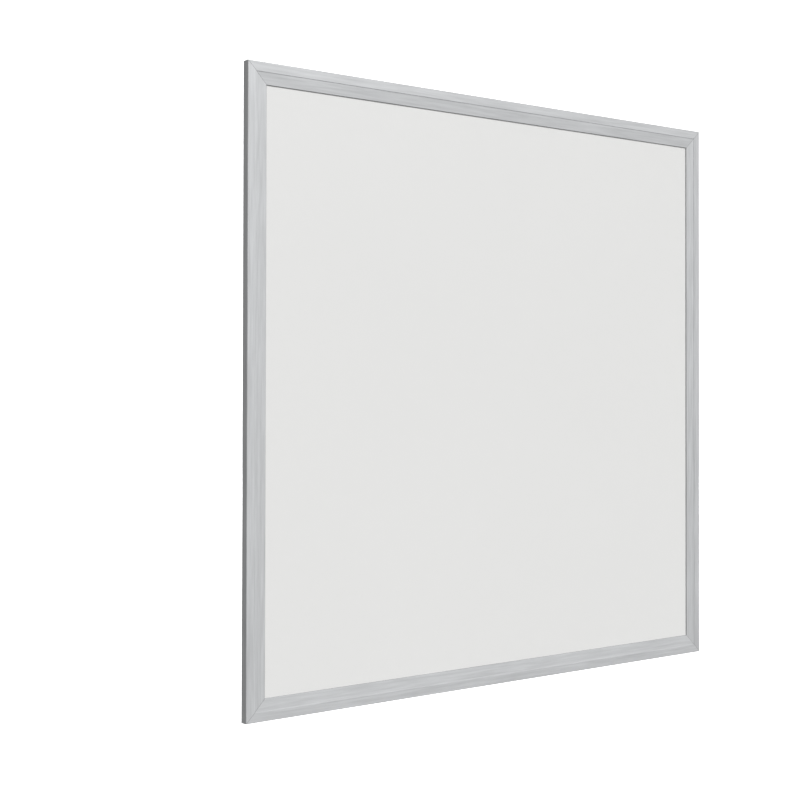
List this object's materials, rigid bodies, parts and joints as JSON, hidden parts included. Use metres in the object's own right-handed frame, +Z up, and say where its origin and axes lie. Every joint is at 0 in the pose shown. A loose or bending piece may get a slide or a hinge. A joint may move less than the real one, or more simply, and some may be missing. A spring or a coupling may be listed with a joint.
{
  "type": "led panel light",
  "caption": "Square back-lit LED ceiling panel: mitred aluminium frame, opal diffuser, ribbed steel back cover and a driver with a hinged terminal cover.",
  "frame": {"origin": "middle of the panel, in the plane of the back cover's flange, which holds the suspension holes", "axes": "+Y from the lit front to the back, +Z up across the panel as it stands upright, +X to the right seen from the front"},
  "size_m": [0.595, 0.0609, 0.595],
  "materials": {
    "anodised_frame": "satin silver-grey powder coat over extruded aluminium",
    "opal_diffuser": "opal acrylic, fine matt face",
    "gasket_foam": "closed-cell foam strip",
    "white_steel": "smooth semi-matt white powder coat",
    "black_screw": "black oxide",
    "thermal_tape": "thermally conductive adhesive tape",
    "connector_white": "moulded nylon",
    "wire_red": "PVC insulation",
    "wire_black": "PVC insulation",
    "reflector_film": "microfoamed white PET",
    "pad_foam": "double-sided foam pad",
    "driver_plastic": "fine-textured moulded polycarbonate",
    "plated_steel": "bright zinc plate",
    "terminal_grey": "moulded polyamide",
    "copper": "tinned copper alloy",
    "clamp_plastic": "moulded nylon",
    "circuit_board": "green solder mask",
    "ferrite": "sintered ferrite",
    "winding_tape": "polyester tape over the winding",
    "copper_winding": "enamelled wire on a ring core",
    "capacitor_sleeve": "shrunk sleeve on an aluminium can",
    "film_capacitor_case": "moulded box",
    "fuse_case": "moulded fuse body",
    "bare_aluminium": "mill finish",
    "chip_black": "epoxy package",
    "grommet_rubber": "moulded rubber",
    "button_orange": "moulded nylon",
    "zinc_key": "die-cast",
    "board_white": "white solder mask on aluminium board",
    "led_chip": "phosphor in a white package",
    "lens_acrylic": "clear moulded acrylic"
  },
  "bodies": {
    "panel": {"back_cover": "white_steel", "board_connectors": "connector_white", "board_screws": "plated_steel", "board_tapes": "thermal_tape", "bulk_capacitor": "capacitor_sleeve", "clamp_screws": "plated_steel", "clamp_springs": "plated_steel", "contact_strips": "copper", "control_chips": "chip_black", "cord_clamp": "clamp_plastic", "corner_key_bottom_left": "zinc_key", "corner_key_bottom_right": "zinc_key", "corner_key_top_left": "zinc_key", "corner_key_top_right": "zinc_key", "cover_screws": "black_screw", "diffuser": "opal_diffuser", "diffuser_gasket": "gasket_foam", "driver_board": "circuit_board", "driver_case": "driver_plastic", "driver_lid": "driver_plastic", "driver_screws": "plated_steel", "film_capacitor": "film_capacitor_case", "filter_choke": "copper_winding", "frame_bottom": "anodised_frame", "frame_left": "anodised_frame", "frame_right": "anodised_frame", "frame_top": "anodised_frame", "fuse": "fuse_case", "heat_sink": "bare_aluminium", "jumper_wires_black": "wire_black", "jumper_wires_red": "wire_red", "lead_grommet": "grommet_rubber", "lead_splice": "connector_white", "led_board_1": "board_white", "led_board_2": "board_white", "led_board_3": "board_white", "led_board_4": "board_white", "led_board_5": "board_white", "led_board_6": "board_white", "leds": "led_chip", "lenses": "lens_acrylic", "lid_screws": "plated_steel", "output_capacitors": "capacitor_sleeve", "output_lead_black": "wire_black", "output_lead_red": "wire_red", "output_terminal": "terminal_grey", "power_transistor": "chip_black", "reflector": "reflector_film", "reflector_pads": "pad_foam", "terminal_block": "terminal_grey", "transformer_core": "ferrite", "transformer_winding": "winding_tape"},
    "terminal_cover": {"terminal_cover": "driver_plastic", "hinge_pin": "plated_steel"},
    "release_button_live": {"release_button_live": "button_orange"},
    "release_button_earth": {"release_button_earth": "button_orange"},
    "release_button_neutral": {"release_button_neutral": "button_orange"}
  },
  "joints": [
    {"name": "terminal_cover_hinge", "type": "hinge", "parent": "panel", "child": "terminal_cover", "pos_m": [0, 0.0514, -0.038], "axis": [1, 0, 0], "range_deg": [0, 110]},
    {"name": "release_button_live_press", "type": "slide", "parent": "panel", "child": "release_button_live", "axis": [0, -1, 0], "range_m": [0, 0.001], "stiffness_N_per_m": 800, "springref_m": -0.001},
    {"name": "release_button_earth_press", "type": "slide", "parent": "panel", "child": "release_button_earth", "axis": [0, -1, 0], "range_m": [0, 0.001], "stiffness_N_per_m": 800, "springref_m": -0.001},
    {"name": "release_button_neutral_press", "type": "slide", "parent": "panel", "child": "release_button_neutral", "axis": [0, -1, 0], "range_m": [0, 0.001], "stiffness_N_per_m": 800, "springref_m": -0.001}
  ]
}
